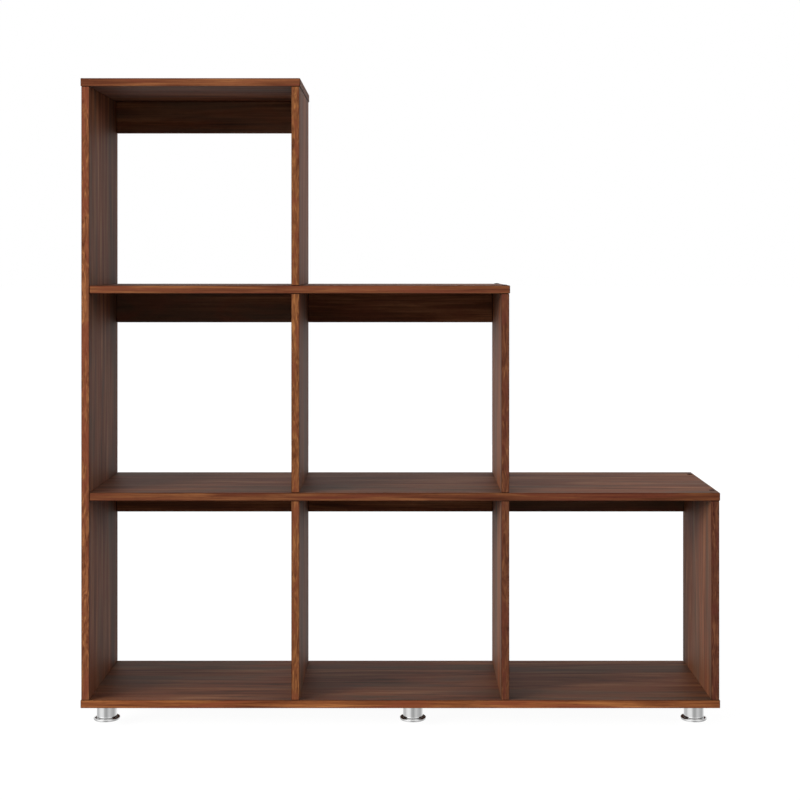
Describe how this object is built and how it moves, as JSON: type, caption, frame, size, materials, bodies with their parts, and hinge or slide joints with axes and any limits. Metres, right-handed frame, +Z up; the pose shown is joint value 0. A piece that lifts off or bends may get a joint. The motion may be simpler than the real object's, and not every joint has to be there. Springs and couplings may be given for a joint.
{
  "type": "staircase bookshelf",
  "caption": "Open-backed shelving unit whose columns of square cubbies fall in steps to the right, on round levelling feet.",
  "frame": {"origin": "on the floor, under the middle of the boards' width and depth", "axes": "+Z up, +X to the right of whoever faces the open front, towards the lowest step, and the front faces -Y"},
  "size_m": [1.2, 0.3, 1.2149],
  "materials": {
    "walnut_board": "walnut-print melamine on chipboard, satin, with matching edge bands",
    "foot_chrome": "polished chrome plating",
    "insert_plastic": "moulded nylon",
    "screw_steel": "bright zinc plating",
    "cap_plastic": "moulded polyethylene, brown"
  },
  "bodies": {
    "carcass": {"bottom_board": "walnut_board", "middle_shelf": "walnut_board", "upper_shelf": "walnut_board", "top_board": "walnut_board", "left_side_panel": "walnut_board", "left_divider_bottom": "walnut_board", "left_divider_middle": "walnut_board", "left_divider_top": "walnut_board", "right_divider_bottom": "walnut_board", "right_divider_middle": "walnut_board", "right_side_panel": "walnut_board", "back_rail_bottom_left": "walnut_board", "back_rail_bottom_centre": "walnut_board", "back_rail_bottom_right": "walnut_board", "back_rail_middle_left": "walnut_board", "back_rail_middle_centre": "walnut_board", "back_rail_top_left": "walnut_board", "middle_shelf_right_front_screw": "screw_steel", "middle_shelf_left_front_screw": "screw_steel", "upper_shelf_right_front_screw": "screw_steel", "upper_shelf_left_front_screw": "screw_steel", "top_board_left_front_screw": "screw_steel", "top_board_right_front_screw": "screw_steel", "middle_shelf_right_back_screw": "screw_steel", "middle_shelf_left_back_screw": "screw_steel", "upper_shelf_right_back_screw": "screw_steel", "upper_shelf_left_back_screw": "screw_steel", "top_board_left_back_screw": "screw_steel", "top_board_right_back_screw": "screw_steel", "middle_shelf_right_front_cap": "cap_plastic", "middle_shelf_left_front_cap": "cap_plastic", "upper_shelf_right_front_cap": "cap_plastic", "upper_shelf_left_front_cap": "cap_plastic", "top_board_left_front_cap": "cap_plastic", "top_board_right_front_cap": "cap_plastic", "middle_shelf_right_back_cap": "cap_plastic", "middle_shelf_left_back_cap": "cap_plastic", "upper_shelf_right_back_cap": "cap_plastic", "upper_shelf_left_back_cap": "cap_plastic", "top_board_left_back_cap": "cap_plastic", "top_board_right_back_cap": "cap_plastic", "left_front_foot_insert": "insert_plastic", "left_back_foot_insert": "insert_plastic", "middle_front_foot_insert": "insert_plastic", "middle_back_foot_insert": "insert_plastic", "right_front_foot_insert": "insert_plastic", "right_back_foot_insert": "insert_plastic", "left_front_foot_sleeve": "foot_chrome", "left_back_foot_sleeve": "foot_chrome", "middle_front_foot_sleeve": "foot_chrome", "middle_back_foot_sleeve": "foot_chrome", "right_front_foot_sleeve": "foot_chrome", "right_back_foot_sleeve": "foot_chrome"},
    "left_front_foot": {"left_front_foot_base": "foot_chrome"},
    "left_back_foot": {"left_back_foot_base": "foot_chrome"},
    "middle_front_foot": {"middle_front_foot_base": "foot_chrome"},
    "middle_back_foot": {"middle_back_foot_base": "foot_chrome"},
    "right_front_foot": {"right_front_foot_base": "foot_chrome"},
    "right_back_foot": {"right_back_foot_base": "foot_chrome"}
  },
  "joints": [
    {"name": "left_front_foot_height", "type": "slide", "parent": "carcass", "child": "left_front_foot", "axis": [0, 0, -1], "range_m": [0, 0.01]},
    {"name": "left_back_foot_height", "type": "slide", "parent": "carcass", "child": "left_back_foot", "axis": [0, 0, -1], "range_m": [0, 0.01]},
    {"name": "middle_front_foot_height", "type": "slide", "parent": "carcass", "child": "middle_front_foot", "axis": [0, 0, -1], "range_m": [0, 0.01]},
    {"name": "middle_back_foot_height", "type": "slide", "parent": "carcass", "child": "middle_back_foot", "axis": [0, 0, -1], "range_m": [0, 0.01]},
    {"name": "right_front_foot_height", "type": "slide", "parent": "carcass", "child": "right_front_foot", "axis": [0, 0, -1], "range_m": [0, 0.01]},
    {"name": "right_back_foot_height", "type": "slide", "parent": "carcass", "child": "right_back_foot", "axis": [0, 0, -1], "range_m": [0, 0.01]}
  ]
}
